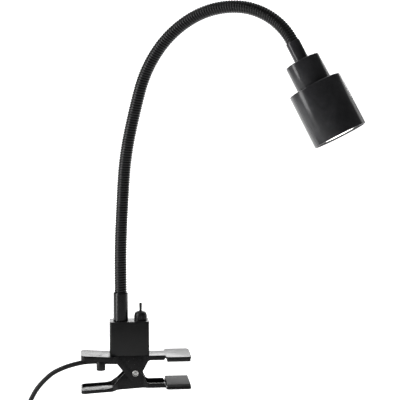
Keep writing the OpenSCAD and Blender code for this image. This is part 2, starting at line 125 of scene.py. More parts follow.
def pick(piece):
    """Makes the piece the only one selected, and the active one."""
    start_fresh()
    piece.select_set(True)
    bpy.context.view_layer.objects.active = piece
    return piece


def settle(piece):
    """Puts the piece's place and turn into its mesh, so that its object sits at the origin."""
    pick(piece)
    bpy.ops.object.transform_apply(location=True, rotation=True, scale=True)
    return piece


def modify(piece, kind, **settings):
    """Adds a modifier with its settings and applies it."""
    pick(piece)
    modifier = piece.modifiers.new(kind.title(), kind)
    for key, value in settings.items():
        setattr(modifier, key, value)
    bpy.ops.object.modifier_apply(modifier=modifier.name)
    return piece


def smooth(piece, angle=40):
    """Shades the piece smooth, with a crease wherever two faces meet at more than the angle."""
    pick(piece)
    bpy.ops.object.shade_smooth_by_angle(angle=math.radians(angle))
    return piece


def outward(piece):
    """Merges doubled points and turns every face outwards."""
    pick(piece)
    bpy.ops.object.mode_set(mode="EDIT")
    bpy.ops.mesh.select_all(action="SELECT")
    bpy.ops.mesh.remove_doubles(threshold=0.00002)
    bpy.ops.mesh.normals_make_consistent(inside=False)
    bpy.ops.object.mode_set(mode="OBJECT")
    return piece


def joined(name, *pieces):
    """Joins pieces into the first one."""
    start_fresh()
    for piece in pieces:
        piece.select_set(True)
    bpy.context.view_layer.objects.active = pieces[0]
    bpy.ops.object.join()
    return named(name)


def drawn(name, points):
    """Draws an open line through points in millimetres, by extruding one point along it."""
    start_fresh()
    bpy.ops.mesh.primitive_plane_add(size=0.001, location=(0, 0, 0))
    line = named(name)
    bpy.ops.object.mode_set(mode="EDIT")
    bpy.ops.mesh.merge(type="CENTER")
    places = [Vector(p) * MM for p in points]
    bpy.ops.transform.translate(value=places[0])
    for before, after in zip(places, places[1:]):
        bpy.ops.mesh.extrude_region_move(TRANSFORM_OT_translate={"value": after - before})
    bpy.ops.object.mode_set(mode="OBJECT")
    return line


def spun(name, profile, steps=96):
    """Turns a closed profile of (radius, height) pairs in millimetres once round the Z axis."""
    piece = drawn(name, [(r, 0, z) for r, z in (*profile, profile[0])])
    bpy.ops.object.mode_set(mode="EDIT")
    bpy.ops.mesh.select_all(action="SELECT")
    bpy.ops.mesh.spin(steps=steps, angle=math.tau, center=(0, 0, 0), axis=(0, 0, 1))
    bpy.ops.object.mode_set(mode="OBJECT")
    return outward(piece)


def rounded(profile, radius, steps=4):
    """The same closed profile with every corner rounded, less where a side is too short."""
    out = []
    count = len(profile)
    for i, corner in enumerate(profile):
        b = Vector(corner)
        u, v = Vector(profile[i - 1]) - b, Vector(profile[(i + 1) % count]) - b
        reach = min(radius, 0.45 * u.length, 0.45 * v.length)
        u.normalize()
        v.normalize()
        if u.dot(v) < -0.999:
            out.append(tuple(b))
            continue
        for k in range(steps + 1):
            t = k / steps
            point = b + u * reach * (1 - t) ** 2 + v * reach * t**2
            out.append(tuple(point))
    return out


def copied(name, node):
    """A merged copy of a CAD node's mesh, ready to be finished by hand."""
    pick(NODES[node])
    bpy.ops.object.duplicate()
    piece = bpy.context.object
    piece.parent = None
    for key in list(piece.keys()):
        del piece[key]
    named(name)
    bpy.ops.object.mode_set(mode="EDIT")
    bpy.ops.mesh.select_all(action="SELECT")
    bpy.ops.mesh.remove_doubles(threshold=0.000005)
    bpy.ops.mesh.dissolve_limited(angle_limit=math.radians(0.5))
    bpy.ops.object.mode_set(mode="OBJECT")
    piece.data.materials.clear()
    return piece


def softened(name, node, width, segments=2, **limits):
    """A merged copy of a CAD node with its sharp edges rounded to a width in millimetres."""
    return modify(
        copied(name, node), "BEVEL", width=width * MM, segments=segments, limit_method="ANGLE",
        **limits,
    )


def strung(name, points):
    """A curve of straight pieces through points in metres."""
    start_fresh()
    bpy.ops.curve.primitive_nurbs_path_add(location=(0, 0, 0))
    curve = named(name)
    curve.data.splines.clear()
    line = curve.data.splines.new("POLY")
    line.points.add(len(points) - 1)
    for point, place in zip(line.points, points):
        point.co = (*place, 1)
    curve.data.dimensions = "3D"
    return curve


def thickened(curve, width, resolution):
    """Gives a curve a round section of a width in metres, closed at both ends."""
    curve.data.bevel_depth = width / 2
    curve.data.bevel_resolution = resolution
    curve.data.use_fill_caps = True
    return curve


def dress(piece, body, finish, *nodes, slot=None):
    """Gives a finished piece its material and its body, and hides the CAD nodes that it stands for.
    """
    piece.data.materials.clear()
    piece.data.materials.append(finish)
    if body:
        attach(piece, body)
    if nodes:
        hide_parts(*nodes)
    return piece


# ---- the neck's course ----


def neck_course(s):
    """The point on the neck's middle line at a length s above its foot, and its lean there."""
    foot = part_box("base_ferrule")
    x, z, lean = 0.0, 0.0, 0.0
    lengths = (LINK / 2, *(LINK,) * (len(BENDS) - 1), LINK / 2)
    left = s
    for link, (length, bend) in enumerate(zip(lengths, (0, *BENDS))):
        part = left if link == len(BENDS) else min(left, length)
        turn = math.radians(bend) * part / length
        if abs(turn) < 1e-9:
            dx, dz = 0.0, part
        else:
            r = part / turn
            dx, dz = r * (1 - math.cos(turn)), r * math.sin(turn)
        x += dx * math.cos(lean) + dz * math.sin(lean)
        z += dz * math.cos(lean) - dx * math.sin(lean)
        lean += turn
        left -= part
        if left <= 0 and part < length:
            break
    middle = (foot[0].x + foot[1].x) / 2
    return Vector((middle + x * math.cos(SWING), x * math.sin(SWING), foot[1].z + z)), lean


def neck_length():
    """The whole length of the neck between its ferrules."""
    return len(BENDS) * LINK


def head_place():
    """The matrix that carries a piece built along +Z onto the head's axis."""
    point, lean = neck_course(neck_length())
    return (
        Matrix.Translation(point)
        @ Matrix.Rotation(SWING, 4, "Z")
        @ Matrix.Rotation(lean, 4, "Y")
    )


def onto_head(piece):
    """Moves a piece built along +Z onto the head's axis."""
    piece.matrix_world = head_place()
    return settle(piece)


# ---- finishes ----


class Amount:
    """A shader socket that carries a number. Arithmetic on it adds Math nodes."""

    def __init__(self, finish, socket):
        self.finish = finish
        self.socket = socket

    def math(self, operation, *values):
        node = self.finish.node("ShaderNodeMath", {"operation": operation}, values)
        return Amount(self.finish, node.outputs[0])

    def __add__(self, other):
        return self.math("ADD", self, other)

    def __sub__(self, other):
        return self.math("SUBTRACT", self, other)

    def __mul__(self, other):
        return self.math("MULTIPLY", self, other)

    def __truediv__(self, other):
        return self.math("DIVIDE", self, other)

    def __radd__(self, other):
        return self.math("ADD", other, self)

    def __rsub__(self, other):
        return self.math("SUBTRACT", other, self)

    def __rmul__(self, other):
        return self.math("MULTIPLY", other, self)

    def sine(self):
        return self.math("SINE", self)

    def root(self):
        return self.math("SQRT", self)

    def between(self, low, high):
        """0 below low, 1 above high, and a smooth step from one to the other."""
        node = self.finish.node(
            "ShaderNodeMapRange",
            {"interpolation_type": "SMOOTHSTEP", "clamp": True},
            {"Value": self, "From Min": low, "From Max": high, "To Min": 0.0, "To Max": 1.0},
        )
        return Amount(self.finish, node.outputs["Result"])


class Finish:
    """A material with one Principled shader, made from nodes."""

    def __init__(self, name, color, roughness, **constants):
        self.material = bpy.data.materials.new(name)
        self.material.use_nodes = True
        self.tree = self.material.node_tree
        self.shader = self.tree.nodes["Principled BSDF"]
        self.color = (*color, 1.0)
        self.shader.inputs["Base Color"].default_value = self.color
        self.shader.inputs["Roughness"].default_value = roughness
        for key, value in constants.items():
            self.named(key).default_value = value

    def named(self, key):
        """The shader's own socket for a key such as base_color."""
        return self.shader.inputs[key.replace("_", " ").title().replace("Ior", "IOR")]

    def feed(self, socket, value):
        """Links a value to a socket, or sets it as a constant."""
        if isinstance(value, Amount):
            value = value.socket
        if isinstance(value, bpy.types.NodeSocket):
            self.tree.links.new(value, socket)
        else:
            socket.default_value = value

    def node(self, kind, settings=None, values=()):
        """Adds a node, sets its settings first, and then feeds its inputs by name or in order."""
        node = self.tree.nodes.new(kind)
        for key, value in (settings or {}).items():
            if key == "stops":
                while len(node.color_ramp.elements) < len(value):
                    node.color_ramp.elements.new(0.5)
                for element, (place, color) in zip(node.color_ramp.elements, value):
                    element.position = place
                    element.color = (*color, 1.0)
            else:
                setattr(node, key, value)
        pairs = values.items() if isinstance(values, dict) else enumerate(values)
        for key, value in pairs:
            self.feed(node.inputs[key], value)
        return node

    def place(self):
        """The point on the piece, in metres, in the lamp's own frame."""
        return self.node("ShaderNodeTexCoord").outputs["Object"]

    def axes(self):
        """The point's X, Y and Z as three numbers."""
        node = self.node("ShaderNodeSeparateXYZ", None, [self.place()])
        return [Amount(self, out) for out in node.outputs]

    def noise(self, scale, detail=3.0, roughness=0.5, stretch=None):
        """Soft noise from 0 to 1, with scale in lumps a metre."""
        place = self.place()
        if stretch:
            place = self.node(
                "ShaderNodeMapping", None, {"Vector": place, "Scale": stretch}
            ).outputs[0]
        node = self.node(
            "ShaderNodeTexNoise",
            None,
            {"Vector": place, "Scale": scale, "Detail": detail, "Roughness": roughness},
        )
        return Amount(self, node.outputs[0])

    def speckle(self, scale):
        """Distance from 0 to about 1 to the nearest of many scattered points."""
        node = self.node("ShaderNodeTexVoronoi", None, {"Vector": self.place(), "Scale": scale})
        return Amount(self, node.outputs["Distance"])

    def blend_colors(self, amount, first, second):
        """Mixes two colours by an amount."""
        node = self.node("ShaderNodeMix", {"data_type": "RGBA"})
        self.feed(node.inputs["Factor"], amount)
        for key, value in (("A", first), ("B", second)):
            socket = next(s for s in node.inputs if s.name == key and s.type == "RGBA")
            self.feed(socket, (*value, 1.0) if isinstance(value, tuple) else value)
        return next(s for s in node.outputs if s.type == "RGBA")

    def coat(self, **varied):
        """Feeds what varies over the surface to the shader's sockets."""
        for key, value in varied.items():
            self.feed(self.named(key), value)
        return self

    def relief(self, height, depth, strength=1.0, soften=0.0):
        """Raises the surface by height times depth in metres, over edges softened by a radius."""
        bump = self.node("ShaderNodeBump", None, {"Strength": strength, "Distance": depth})
        self.feed(bump.inputs["Height"], height)
        if soften:
            edge = self.node("ShaderNodeBevel", {"samples": 4}, {"Radius": soften})
            self.feed(bump.inputs["Normal"], edge.outputs[0])
        self.feed(self.shader.inputs["Normal"], bump.outputs[0])
        return self


def powder_coat(name, color, roughness=0.4, dimple=None, shine=0.4, soften=0.35 * MM):
    """Sprayed paint on steel: a faint orange peel, and a little dust and rubbing in its gloss."""
    paint = Finish(name, color, roughness, specular_ior_level=shine)
    peel = paint.noise(900.0, 2.0)
    cloud = paint.noise(60.0, 4.0, 0.6)
    pale = tuple(c * 1.5 + 0.002 for c in color)
    paint.coat(
        base_color=paint.blend_colors(cloud.between(0.35, 0.75), color, pale),
        roughness=roughness + 0.09 * (cloud - 0.5) + 0.05 * (peel - 0.5),
    )
    height = peel * 0.05
    if dimple:
        (cx, cy), (rx, ry), depth = dimple
        x, y, _ = paint.axes()
        u, v = (x - cx) / rx, (y - cy) / ry
        away = (u * u + v * v).root()
        height = height + away.between(0.75, 1.0) * (depth / (0.2 * MM))
    paint.relief(height, 0.2 * MM, soften=soften)
    return paint.material


def moulded(name, color, roughness=0.55, grain=2600.0, depth=0.03):
    """Moulded plastic with a fine spark-eroded grain."""
    plastic = Finish(name, color, roughness, specular_ior_level=0.35)
    grains = plastic.speckle(grain)
    cloud = plastic.noise(45.0, 3.0)
    pale = tuple(c * 1.35 + 0.003 for c in color)
    plastic.coat(
        base_color=plastic.blend_colors(cloud.between(0.3, 0.8), color, pale),
        roughness=roughness + 0.1 * (cloud - 0.5) + 0.06 * (grains - 0.4),
    )
    plastic.relief(grains, depth * MM, 0.6, soften=0.3 * MM)
    return plastic.material


def rubber(name, color, roughness=0.62):
    """Dull rubber with a slight bloom."""
    skin = Finish(name, color, roughness, specular_ior_level=0.35)
    bloom = skin.noise(140.0, 5.0, 0.65)
    fine = skin.noise(2400.0, 2.0)
    pale = tuple(c * 1.6 + 0.01 for c in color)
    skin.coat(
        base_color=skin.blend_colors(bloom.between(0.45, 0.85), color, pale),
        roughness=roughness + 0.16 * (bloom - 0.5),
    )
    skin.relief(fine, 0.03 * MM, 0.5, soften=0.2 * MM)
    return skin.material


def bare_metal(name, color, roughness=0.25, lines=None):
    """Bare or plated metal with fine tool marks along one direction."""
    metal = Finish(name, color, roughness, metallic=1.0)
    marks = metal.noise(700.0, 4.0, 0.6, stretch=lines or (1.0, 1.0, 6.0))
    tarnish = metal.noise(110.0, 4.0, 0.6)
    dull = tuple(c * 0.72 for c in color)
    metal.coat(
        base_color=metal.blend_colors(tarnish.between(0.5, 0.85), color, dull),
        roughness=roughness + 0.16 * (marks - 0.5) + 0.1 * (tarnish - 0.5),
    )
    metal.relief(marks, 0.02 * MM, 0.4, soften=0.15 * MM)
    return metal.material


def lit_lens(name, glow):
    """A frosted lens lit from behind: a ring of soft spots round a bright middle."""
    lens = Finish(name, (0.95, 0.95, 0.92), 0.3)
    spots = lens.speckle(190.0)
    bright = lens.blend_colors(spots.between(0.1, 0.75), (1.0, 0.985, 0.95), (0.93, 0.9, 0.84))
    lens.coat(base_color=bright, emission_color=bright)
    lens.shader.inputs["Emission Strength"].default_value = glow
    lens.relief(spots, 0.3 * MM, 0.4)
    return lens.material


FINISHES = {}


def finish_named(name):
    """Makes a finish the first time that it is asked for."""
    if name not in FINISHES:
        look = bpy.context.scene.reading_lamp
        paint, cord = tuple(look.paint_color), tuple(look.cord_color)
        FINISHES[name] = {
            "clamp paint": lambda: powder_coat("clamp_paint", paint, look.paint_roughness),
            "neck paint": lambda: powder_coat(
                "neck_paint", paint, look.neck_roughness, soften=0.0
            ),
            # Painted light: the head's paint is the clamp's same black made five times paler, so
            # that the head reads brighter, as if more light fell on it.
            "head paint with painted light": lambda: powder_coat(
                "head_paint", tuple(c * 5 for c in paint), look.head_roughness
            ),
            "box plastic": lambda: moulded("box_plastic", tuple(look.plastic_color), 0.36),
            "switch plastic": lambda: moulded(
                "switch_plastic", tuple(look.plastic_color), 0.3, 1800.0, 0.01
            ),
            "bulb plastic": lambda: moulded("bulb_plastic", (0.006, 0.006, 0.006), 0.9),
            "pale plastic": lambda: moulded("pale_plastic", (0.8, 0.79, 0.74), 0.4),
            "pad rubber": lambda: rubber("pad_rubber", (0.035, 0.035, 0.035), 0.7),
            "cord rubber": lambda: rubber("cord_rubber", cord, 0.42),
            "bright steel": lambda: bare_metal("bright_steel", (0.62, 0.62, 0.61), 0.14),
            "plain steel": lambda: bare_metal("plain_steel", (0.62, 0.62, 0.61), 0.34),
            "spring steel": lambda: bare_metal("spring_steel", (0.5, 0.5, 0.51), 0.3),
            "brass": lambda: bare_metal("contact_brass", (0.78, 0.58, 0.28), 0.3),
            "lens": lambda: lit_lens("lit_lens", look.glow),
        }[name]()
    return FINISHES[name]


# ---- settings ----


class ReadingLampLook(bpy.types.PropertyGroup):
    """Sizes and colours that a user may want to change."""

    paint_color: bpy.props.FloatVectorProperty(
        name="Paint", description="Colour of the painted metal", subtype="COLOR",
        default=(0.0055, 0.0055, 0.006), min=0.0, max=1.0,
    )
    paint_roughness: bpy.props.FloatProperty(
        name="Clamp Roughness", description="Roughness of the clamp's paint",
        default=0.26, min=0.0, max=1.0, subtype="FACTOR",
    )
    neck_roughness: bpy.props.FloatProperty(
        name="Neck Roughness", description="Roughness of the neck's coating",
        default=0.24, min=0.0, max=1.0, subtype="FACTOR",
    )
    head_roughness: bpy.props.FloatProperty(
        name="Head Roughness", description="Roughness of the head's paint",
        default=0.2, min=0.0, max=1.0, subtype="FACTOR",
    )
    plastic_color: bpy.props.FloatVectorProperty(
        name="Plastic", description="Colour of the switch box and the switch", subtype="COLOR",
        default=(0.006, 0.006, 0.0062), min=0.0, max=1.0,
    )
    cord_color: bpy.props.FloatVectorProperty(
        name="Cord", description="Colour of the cord and its plug", subtype="COLOR",
        default=(0.007, 0.007, 0.007), min=0.0, max=1.0,
    )
    glow: bpy.props.FloatProperty(
        name="Glow", description="Strength of the light from the bulb's lens",
        default=1.6, min=0.0, soft_max=10.0,
    )
    edge_radius: bpy.props.FloatProperty(
        name="Edge Radius", description="Radius of the pressed steel's outer edges",
        default=0.45 * MM, min=0.0, max=0.001, precision=5, unit="LENGTH", subtype="DISTANCE",
    )
    rib_depth: bpy.props.FloatProperty(
        name="Rib Depth", description="Depth of the groove between the neck's ribs",
        default=0.9 * MM, min=0.0, max=0.0015, precision=5, unit="LENGTH", subtype="DISTANCE",
    )
    ribs_per_link: bpy.props.IntProperty(
        name="Ribs", description="Number of ribs on one link of the neck",
        default=18, min=10, max=26,
    )
    cord_width: bpy.props.FloatProperty(
        name="Cord Diameter", description="Diameter of the mains cord",
        default=5 * MM, min=0.004, max=0.006, precision=4, unit="LENGTH", subtype="DISTANCE",
    )


# ---- operators ----


class LAMP_OT_stage(bpy.types.Operator):
    """Sets the camera, a pale seamless floor and soft lights"""

    bl_idname = "reading_lamp.stage"
    bl_label = "Stage"

    def execute(self, context):
        start_fresh()
        bpy.ops.object.camera_add(
            location=(-0.0992, -1.2748, 0.2873),
            rotation=(math.radians(84.516), 0, math.radians(-5.5)),
        )
        camera = bpy.context.object
        camera.name = "front_camera"
        camera.data.sensor_width = 36
        camera.data.lens = 112.5
        camera.data.clip_start = 0.01
        camera.data.clip_end = 50
        context.scene.camera = camera

        floor_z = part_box("coil_tie")[0].z - 0.0002
        start_fresh()
        bpy.ops.mesh.primitive_plane_add(size=1, location=(0, 0.3, floor_z))
        floor = named("floor")
        floor.scale = (6, 4.5, 1)
        settle(floor)
        bpy.ops.object.mode_set(mode="EDIT")
        bpy.ops.mesh.select_all(action="DESELECT")
        bpy.ops.object.mode_set(mode="OBJECT")
        for edge in floor.data.edges:
            ends = [floor.data.vertices[i].co.y for i in edge.vertices]
            edge.select = min(ends) > 2
        bpy.ops.object.mode_set(mode="EDIT")
        for k in range(8):
            a = math.radians(11.25 * (k + 0.5))
            step = Vector((0, math.cos(a), math.sin(a))) * 0.16
            bpy.ops.mesh.extrude_region_move(TRANSFORM_OT_translate={"value": step})
        bpy.ops.mesh.extrude_region_move(TRANSFORM_OT_translate={"value": (0, 0, 3)})
        bpy.ops.object.mode_set(mode="OBJECT")
        smooth(floor, 60)
        paper = Finish("white_paper", (0.93, 0.93, 0.93), 0.85, specular_ior_level=0.1)
        tone = paper.noise(3.0, 2.0)
        shade = paper.blend_colors(tone, (0.93, 0.93, 0.93), (0.95, 0.95, 0.95))
        x, y, _ = paper.axes()
        # The floor glows white behind the lamp. It is grey in front and far out to the sides,
        # so that it doesn't show as a pale reflection in the black faces.
        white, grey = (0.95, 0.95, 0.95), (0.08, 0.08, 0.08)
        sides = x.between(-0.95, -0.55) * (1.0 - x.between(1.15, 1.6))
        behind = y.between(-0.06, 0.09) * sides
        lift = paper.blend_colors(behind, grey, white)
        paper.coat(base_color=shade, emission_color=lift)
        paper.named("emission_strength").default_value = 0.9
        floor.data.materials.append(paper.material)

        world = context.scene.world or bpy.data.worlds.new("World")
        context.scene.world = world
        world.use_nodes = True
        sky = world.node_tree.nodes["Background"]
        sky.inputs["Color"].default_value = (1, 1, 1, 1)
        sky.inputs["Strength"].default_value = 0.1
        context.scene.view_settings.view_transform = "Standard"

        self.soft_light("left_softbox", (-0.6, -0.2, 0.42), (0, 0, 0.42), (0.2, 0.94), 4)
        self.soft_light("right_softbox", (1.6, 0.95, 0.3), (0, 0, 0.2), (0.7, 1.4), 3.5)
        self.soft_light("top_softbox", (0.1, 0.2, 1.7), (0, 0, 0.1), (1.2, 1.2), 4.5)
        self.soft_light("back_softbox", (0.2, 2.2, 1.15), (0, 0.3, 0.1), (3.4, 1.0), 44)
        return {"FINISHED"}

    def soft_light(self, name, place, target, size, power):
        """Adds a rectangular lamp that faces the target."""
        start_fresh()
        aim = (Vector(target) - Vector(place)).to_track_quat("-Z", "Y").to_euler()
        bpy.ops.object.light_add(type="AREA", location=place, rotation=aim)
        light = bpy.context.object
        light.name = name
        light.data.shape = "RECTANGLE"
        light.data.size, light.data.size_y = size
        light.data.energy = power


class LAMP_OT_cord(bpy.types.Operator):
    """Makes the mains cord with its coil and tie, the strain relief and the plug"""

    bl_idname = "reading_lamp.cord"
    bl_label = "Cord"

    def execute(self, context):
        look = context.scene.reading_lamp
        plug = self.plug()
        pins = self.pins()
        tie = softened("coil_strap", "coil_tie", 0.25)
        dress(smooth(tie), "base", finish_named("pad rubber"), "coil_tie", slot="pad_rubber")
        self.relief()
        self.clip()

        route = self.route(look.cord_width)
        flex = thickened(strung("mains_cord", route), look.cord_width, 4)
        flex.data.resolution_u = 1
        flex.data.materials.append(finish_named("cord rubber"))
        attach(flex, "base")
        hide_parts("cord_lead", "cord_coil", "cord_tail")
        length = sum((b - a).length for a, b in zip(route, route[1:]))
        return {"FINISHED"}

    def route(self, width):
        """The cord's middle line: down to the floor, round the coil, and out to the plug."""
        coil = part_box("cord_coil")
        middle = (coil[0] + coil[1]) / 2
        lead = [Vector(p) * MM for p in LEAD]
        tail = [Vector(p) * MM for p in TAIL]
        count = len(COIL_SLOTS) * COIL_STEPS
        loops = []
        for k in range(count + 1):
            t = k / count
            at = t * (len(COIL_SLOTS) - 1)
            low = min(int(at), len(COIL_SLOTS) - 2)
            step = at - low
            step = step * step * (3 - 2 * step)
            a, b = COIL_SLOTS[low], COIL_SLOTS[low + 1]
            out = COIL_RADIUS + width * (a[0] + (b[0] - a[0]) * step) * COIL_PITCH
            up = middle.z + width * (a[1] + (b[1] - a[1]) * step) * COIL_PITCH
            angle = -math.pi / 2 - (len(COIL_SLOTS) - 0.25) * math.tau * t
            loops.append(
                Vector((middle.x + out * math.cos(angle), middle.y + out * math.sin(angle), up))
            )
        return self.eased(lead[:-1] + loops[1:-1] + tail)

    def eased(self, points):
        """Passes a smooth line through points, with a point every few millimetres."""
        out = []
        last = len(points) - 1
        for i in range(last):
            a, b, c, d = (points[max(0, min(last, i + k))] for k in (-1, 0, 1, 2))
            steps = max(1, round((c - b).length / (3.5 * MM)))
            for k in range(steps):
                t = k / steps
                out.append(
                    0.5
                    * (
                        2 * b
                        + (c - a) * t
                        + (2 * a - 5 * b + 4 * c - d) * t * t
                        + (3 * b - a - 3 * c + d) * t**3
                    )
                )
        return out + [points[-1]]

    def plug(self):
        """The two-pin plug's body, with soft edges."""
        plug = softened("plug_shell", "plug_body", 1.2, 3)
        return dress(
            smooth(plug, 50), "base", finish_named("cord rubber"), "plug_body", slot="cord_rubber"
        )

    def pins(self):
        """The plug's two pins, with rounded tips."""
        low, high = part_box("plug_pins")
        centre = (low + high) / 2
        pins = []
        for side in (-1, 1):
            pin = spun("pin", rounded(((0.01, 0), (2, 0), (2, 18), (1.2, 19), (0.01, 19)), 0.6), 32)
            pin.matrix_world = Matrix.Translation(
                (centre.x + side * 9.3 * MM, high.y, centre.z)
            ) @ Matrix.Rotation(math.pi / 2, 4, "X")
            pins.append(settle(pin))
        both = smooth(joined("plug_pins_bright", *pins), 50)
        return dress(both, "base", finish_named("plain steel"), "plug_pins", slot="plain_steel")

    def relief(self):
        """The strain relief's ribbed tail."""
        relief = softened("strain_relief", "cord_relief", 0.3)
        rings = []
        for k in range(5):
            r = 3.45 - 0.07 * k
            ring = spun("ring", rounded(((2.6, -0.8), (r, -0.8), (r, 0.8), (2.6, 0.8)), 0.4), 40)
            ring.matrix_world = Matrix.Translation(
                ((-64.5 - 2.5 * k) * MM, LEAD[0][1] * MM, LEAD[0][2] * MM)
            ) @ Matrix.Rotation(math.pi / 2, 4, "Y")
            rings.append(settle(ring))
        relief = smooth(joined("strain_relief", relief, *rings), 40)
        dress(relief, "base", finish_named("cord rubber"), "cord_relief", slot="cord_rubber")

    def clip(self):
        """The clip that holds the cord under the lever, with its post."""
        for name, node in (("cord_saddle", "cord_clip"), ("clip_post", "clip_screw")):
            dress(smooth(softened(name, node, 0.3)), "base", finish_named("switch plastic"),
                  node, slot="switch_plastic")


class LAMP_OT_clamp(bpy.types.Operator):
    """Makes the pressed clamp, its pads, its pivot and its spring"""

    bl_idname = "reading_lamp.clamp"
    bl_label = "Clamp"

    def execute(self, context):
        look = context.scene.reading_lamp
        lever_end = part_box("clamp_upper")[0].x
        dimple = ((lever_end + 14 * MM, 0), (10 * MM, 8 * MM), 0.35 * MM)
        top_paint = powder_coat(
            "clamp_paint_dimpled", tuple(look.paint_color), look.paint_roughness, dimple, 0.25
        )
        for name, node, body in (
            ("upper_plate", "clamp_upper", "base"), ("lower_plate", "clamp_lower", "jaw"),
        ):
            plate = softened(name, node, look.edge_radius / MM, 3, angle_limit=math.radians(35))
            dress(smooth(plate, 35), body, top_paint, node, slot="clamp_paint")
        for name, node, body in (
            ("upper_pad", "upper_jaw_pad", "base"), ("lower_pad", "lower_jaw_pad", "jaw"),
        ):
            self.pad(name, node, body)
        self.pivot()
        self.spring()
        return {"FINISHED"}

    def pad(self, name, node, body):
        """A rubber jaw pad with rounded edges."""
        dress(smooth(softened(name, node, 0.6, 3)), body, finish_named("pad rubber"), node,
              slot="pad_rubber")

    def pivot(self):
        """The pivot screw's domed head with its ring and socket, its shank, and its nut."""
        low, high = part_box("pivot_screw")
        centre = (low + high) / 2
        head = spun(
            "pivot_head",
            rounded(
                (
                    (0.01, 1.5), (0.9, 1.45), (1.15, 0.7), (2.35, 0.7), (2.65, 1.7), (3.05, 1.75),
                    (3.5, 1.0), (3.55, 0), (2, 0), (2, -20.4), (2, -22.9), (1.5, -23.3),
                    (0.01, -23.3),
                ),
                0.3,
            ),
            64,
        )
        head.matrix_world = Matrix.Translation(
            (centre.x, low.y + 1.8 * MM, centre.z)
        ) @ Matrix.Rotation(math.pi / 2, 4, "X")
        settle(head)
        dress(smooth(head), "base", finish_named("bright steel"), "pivot_screw",
              slot="bright_steel")
        nut = softened("pivot_locknut", "pivot_nut", 0.35)
        dress(smooth(nut), "base", finish_named("bright steel"), "pivot_nut", slot="bright_steel")

    def spring(self):
        """The torsion spring: a round wire wound about the pivot, with an arm to each lever.

        It rides on the base whole, so its lower arm doesn't follow the lower lever.
        """
        pivot = (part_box("pivot_screw")[0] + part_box("pivot_screw")[1]) / 2
        half = SPRING_SWEEP / 360 * SPRING_PITCH / 2
        steps = SPRING_SWEEP // SPRING_STEP
        places = [(-67, half, 2.9), (-62, half, 1.0), (-58, half, -0.6)]
        for k in range(steps + 1):
            a = math.radians(SPRING_START + SPRING_STEP * k)
            places.append(
                (pivot.x / MM + SPRING_RADIUS * math.sin(a), half - 2 * half * k / steps,
                 pivot.z / MM + SPRING_RADIUS * math.cos(a))
            )
        places += [(-57, -half, -23.2), (-62, -half, -25.8), (-68, -half, -28.7)]
        wire = strung("spring_wire", [Vector(place) * MM for place in places])
        pick(thickened(wire, SPRING_WIRE * MM, 3))
        bpy.ops.object.convert(target="MESH")
        wire = outward(bpy.context.object)
        dress(smooth(wire, 60), "base", finish_named("spring steel"), "torsion_spring",
              slot="spring_steel")


class LAMP_OT_switch_box(bpy.types.Operator):
    """Makes the switch box with its base, its toggle switch and its collar"""

    bl_idname = "reading_lamp.switch_box"
    bl_label = "Switch Box"

    def execute(self, context):
        box = softened("box_shell", "switch_housing", 0.5, 3, angle_limit=math.radians(35))
        dress(smooth(box, 35), "base", finish_named("box plastic"), "switch_housing",
              slot="housing_plastic")
        self.collar()
        self.lever()
        return {"FINISHED"}

    def collar(self):
        """The ribbed collar nut under its stepped dome."""
        low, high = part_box("switch_collar")
        centre = (low + high) / 2
        dome = spun(
            "collar_dome",
            rounded(
                ((3, 0), (6.8, 0), (6.8, 0.8), (6.3, 0.9), (6.3, 5.0), (6.5, 5.3), (6.3, 6.8),
                 (5.5, 8.1), (4.4, 9.0), (3.6, 9.3), (3, 9.3)),
                0.3,
            ),
            72,
        )
        dome.location = (centre.x, centre.y, low.z)
        ribs = [settle(dome)]
        start_fresh()
        bpy.ops.mesh.primitive_cube_add(size=1, location=(0, 0, 0))
        rib = named("collar_rib")
        rib.scale = (0.8 * MM, 1.0 * MM, 4.2 * MM)
        settle(rib)
        modify(rib, "BEVEL", width=0.2 * MM, segments=2)
        ribs_round = 18
        for k in range(ribs_round):
            pick(rib)
            bpy.ops.object.duplicate()
            one = bpy.context.object
            one.matrix_world = (
                Matrix.Translation((centre.x, centre.y, low.z + 3.0 * MM))
                @ Matrix.Rotation(math.tau * k / ribs_round, 4, "Z")
                @ Matrix.Translation((6.22 * MM, 0, 0))
            )
            ribs.append(settle(one))
        bpy.data.objects.remove(rib)
        collar = smooth(joined("switch_bezel", *ribs))
        dress(collar, "base", finish_named("switch plastic"), "switch_collar",
              slot="switch_plastic")

    def lever(self):
        """The toggle's tapered lever with its ball and its rounded tip."""
        joint = next(j for j in frame["joints"] if j["name"] == "toggle_throw")
        lever = spun(
            "toggle_stick",
            ((0.01, -1.8), (0.7, -1.66), (1.3, -1.25), (1.7, -0.6), (1.8, 0), (1.7, 0.6),
             (1.35, 1.25), (1.22, 1.7), (1.28, 5), (1.5, 11.7), (1.48, 12.3), (1.2, 12.9),
             (0.65, 13.32), (0.01, 13.4)),
            40,
        )
        lever.matrix_world = Matrix.Translation(joint["pos_m"]) @ Matrix.Rotation(
            TOGGLE_LEAN, 4, "X"
        )
        settle(lever)
        dress(smooth(lever), "toggle", finish_named("switch plastic"), "toggle_lever",
              slot="switch_plastic")


